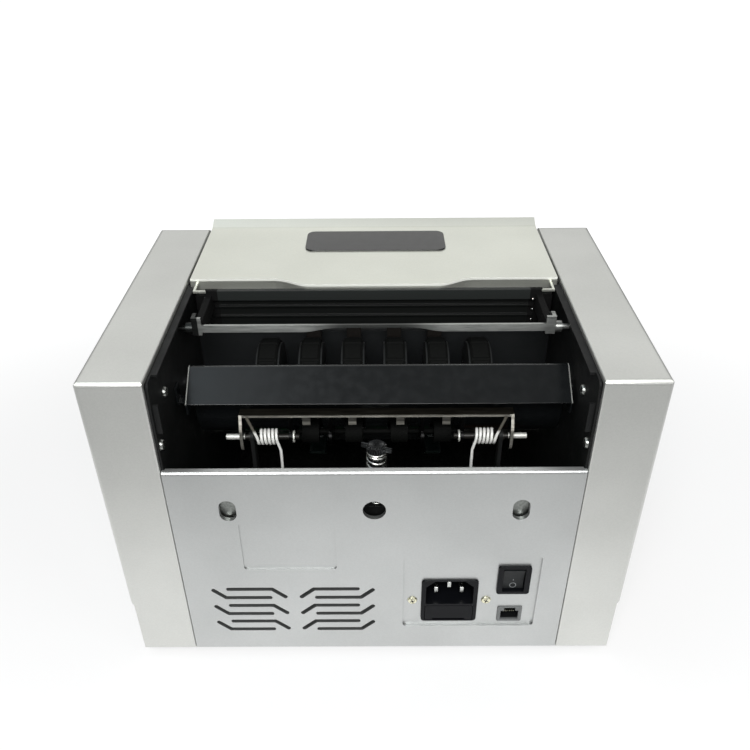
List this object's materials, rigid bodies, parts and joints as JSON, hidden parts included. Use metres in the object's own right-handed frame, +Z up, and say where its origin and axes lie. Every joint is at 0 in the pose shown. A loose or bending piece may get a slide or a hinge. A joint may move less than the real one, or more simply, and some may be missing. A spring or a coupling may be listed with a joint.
{
  "type": "banknote counting machine",
  "caption": "Desk-top note counter seen open at the back: feed drum with rubber tyres, hinged feed cover, hopper, stacker pocket and rear socket panel.",
  "frame": {"origin": "centre of the footprint at table level, under the rubber feet", "axes": "+X to the operator's right, along the width; +Y to the back, where the sockets are; +Z up"},
  "size_m": [0.267, 0.2399, 0.186],
  "materials": {
    "silver_paint": "satin silver paint",
    "panel_paint": "smooth silver paint",
    "black_plastic": "fine moulded grain",
    "gloss_black": "gloss",
    "black_steel": "black powder coat",
    "zinc_steel": "zinc plated",
    "bright_steel": "bright plated",
    "warm_steel": "dull rolled steel",
    "rubber_black": "moulded rubber",
    "pad_rubber": "dark friction rubber",
    "wheel_plastic": "moulded nylon",
    "red_window": "smoked acrylic",
    "key_grey": "fine moulded grain",
    "board_green": "solder mask",
    "coil_varnish": "varnished laminations and winding",
    "motor_grey": "smooth",
    "brass_screw": "plated",
    "jack_grey": "smooth moulded"
  },
  "bodies": {
    "housing": {"left_side_cover": "silver_paint", "right_side_cover": "silver_paint", "rear_panel": "panel_paint", "base_plate": "zinc_steel", "feet": "rubber_black", "left_frame": "black_steel", "right_frame": "black_steel", "cross_rods": "zinc_steel", "frame_screws": "bright_steel", "panel_brackets": "zinc_steel", "hopper_bed": "black_plastic", "control_panel": "black_plastic", "display_window": "red_window", "guide_plate": "gloss_black", "stacker_pocket": "black_plastic", "pinch_bar": "black_steel", "pinch_pins": "zinc_steel", "gap_spring": "bright_steel", "main_motor": "motor_grey", "drive_belt": "rubber_black", "stacker_belt": "rubber_black", "main_board": "board_green", "transformer": "coil_varnish", "inlet_body": "gloss_black", "inlet_pins": "bright_steel", "inlet_screws": "brass_screw", "switch_body": "gloss_black", "data_jack": "jack_grey"},
    "feed_cover": {"top_cover": "silver_paint", "cover_badge": "gloss_black", "separator_block": "black_plastic", "separator_pads": "pad_rubber", "cover_bracket": "bright_steel"},
    "feed_drum": {"feed_shaft": "zinc_steel", "feed_tyre_1": "rubber_black", "feed_tyre_2": "rubber_black", "feed_tyre_3": "rubber_black", "feed_tyre_4": "rubber_black", "feed_tyre_5": "rubber_black", "feed_tyre_6": "rubber_black"},
    "pickup": {"pickup_shaft": "zinc_steel", "pickup_tyre_left": "rubber_black", "pickup_tyre_right": "rubber_black"},
    "outfeed": {"outfeed_shaft": "rubber_black"},
    "stacker": {"stacker_shaft": "zinc_steel", "stacker_wheel_left": "wheel_plastic", "stacker_wheel_right": "wheel_plastic"},
    "motor_rotor": {"motor_pulley": "zinc_steel"},
    "pinch_arm": {"pinch_plate": "warm_steel", "pinch_springs": "bright_steel"},
    "pinch_axle": {"pinch_rollers": "rubber_black"},
    "guide_right": {"hopper_guide_right": "black_plastic"},
    "guide_left": {"hopper_guide_left": "black_plastic"},
    "gap_knob": {"gap_screw_knob": "black_plastic"},
    "fuse_holder": {"fuse_drawer": "gloss_black"},
    "rocker": {"switch_rocker": "gloss_black"},
    "key_mode": {"key_mode": "key_grey"},
    "key_add": {"key_add": "key_grey"},
    "key_batch": {"key_batch": "key_grey"},
    "key_reset": {"key_reset": "key_grey"}
  },
  "joints": [
    {"name": "cover_swing", "type": "hinge", "parent": "housing", "child": "feed_cover", "pos_m": [0, 0.0505, 0.173], "axis": [-1, 0, 0], "range_deg": [0, 65]},
    {"name": "feed_spin", "type": "hinge", "parent": "housing", "child": "feed_drum", "pos_m": [0, 0.044, 0.136], "axis": [-1, 0, 0], "continuous": true},
    {"name": "pickup_spin", "type": "hinge", "parent": "housing", "child": "pickup", "pos_m": [0, -0.015, 0.1342], "axis": [-1, 0, 0], "continuous": true},
    {"name": "outfeed_spin", "type": "hinge", "parent": "housing", "child": "outfeed", "pos_m": [0, 0.02253, 0.11041], "axis": [-1, 0, 0], "continuous": true},
    {"name": "stacker_spin", "type": "hinge", "parent": "housing", "child": "stacker", "pos_m": [0, -0.028, 0.076], "axis": [-1, 0, 0], "continuous": true},
    {"name": "motor_spin", "type": "hinge", "parent": "housing", "child": "motor_rotor", "pos_m": [0, 0.074, 0.054], "axis": [-1, 0, 0], "continuous": true},
    {"name": "pinch_swing", "type": "hinge", "parent": "housing", "child": "pinch_arm", "pos_m": [0, 0.09, 0.132], "axis": [1, 0, 0], "range_deg": [0, 8], "stiffness_Nm_per_rad": 0.6},
    {"name": "pinch_roll", "type": "hinge", "parent": "pinch_arm", "child": "pinch_axle", "pos_m": [0, 0.07024, 0.12085], "axis": [-1, 0, 0], "continuous": true},
    {"name": "guide_right_slide", "type": "slide", "parent": "housing", "child": "guide_right", "axis": [-1, 0, 0], "range_m": [0, 0.02]},
    {"name": "guide_left_slide", "type": "slide", "parent": "housing", "child": "guide_left", "axis": [1, 0, 0], "range_m": [0, 0.02]},
    {"name": "gap_screw_turn", "type": "hinge", "parent": "housing", "child": "gap_knob", "pos_m": [-0.0012, 0.103, 0.104], "axis": [0, 0, 1], "continuous": true},
    {"name": "fuse_drawer_slide", "type": "slide", "parent": "housing", "child": "fuse_holder", "axis": [0, 1, 0], "range_m": [0, 0.014]},
    {"name": "rocker_tilt", "type": "hinge", "parent": "housing", "child": "rocker", "pos_m": [-0.0739, 0.1135, 0.058], "axis": [1, 0, 0], "range_deg": [0, 12]},
    {"name": "key_mode_press", "type": "slide", "parent": "housing", "child": "key_mode", "axis": [0, 0.7809, -0.6247], "range_m": [0, 0.001], "stiffness_N_per_m": 250},
    {"name": "key_add_press", "type": "slide", "parent": "housing", "child": "key_add", "axis": [0, 0.7809, -0.6247], "range_m": [0, 0.001], "stiffness_N_per_m": 250},
    {"name": "key_batch_press", "type": "slide", "parent": "housing", "child": "key_batch", "axis": [0, 0.7809, -0.6247], "range_m": [0, 0.001], "stiffness_N_per_m": 250},
    {"name": "key_reset_press", "type": "slide", "parent": "housing", "child": "key_reset", "axis": [0, 0.7809, -0.6247], "range_m": [0, 0.001], "stiffness_N_per_m": 250}
  ],
  "couplings": [
    {"joint": "pickup_spin", "follows": "feed_spin", "ratio": 1.5},
    {"joint": "outfeed_spin", "follows": "feed_spin", "ratio": -2.6667},
    {"joint": "stacker_spin", "follows": "feed_spin", "ratio": -1.0667},
    {"joint": "motor_spin", "follows": "feed_spin", "ratio": 2},
    {"joint": "pinch_roll", "follows": "feed_spin", "ratio": -4},
    {"joint": "guide_left_slide", "follows": "guide_right_slide", "ratio": 1}
  ]
}
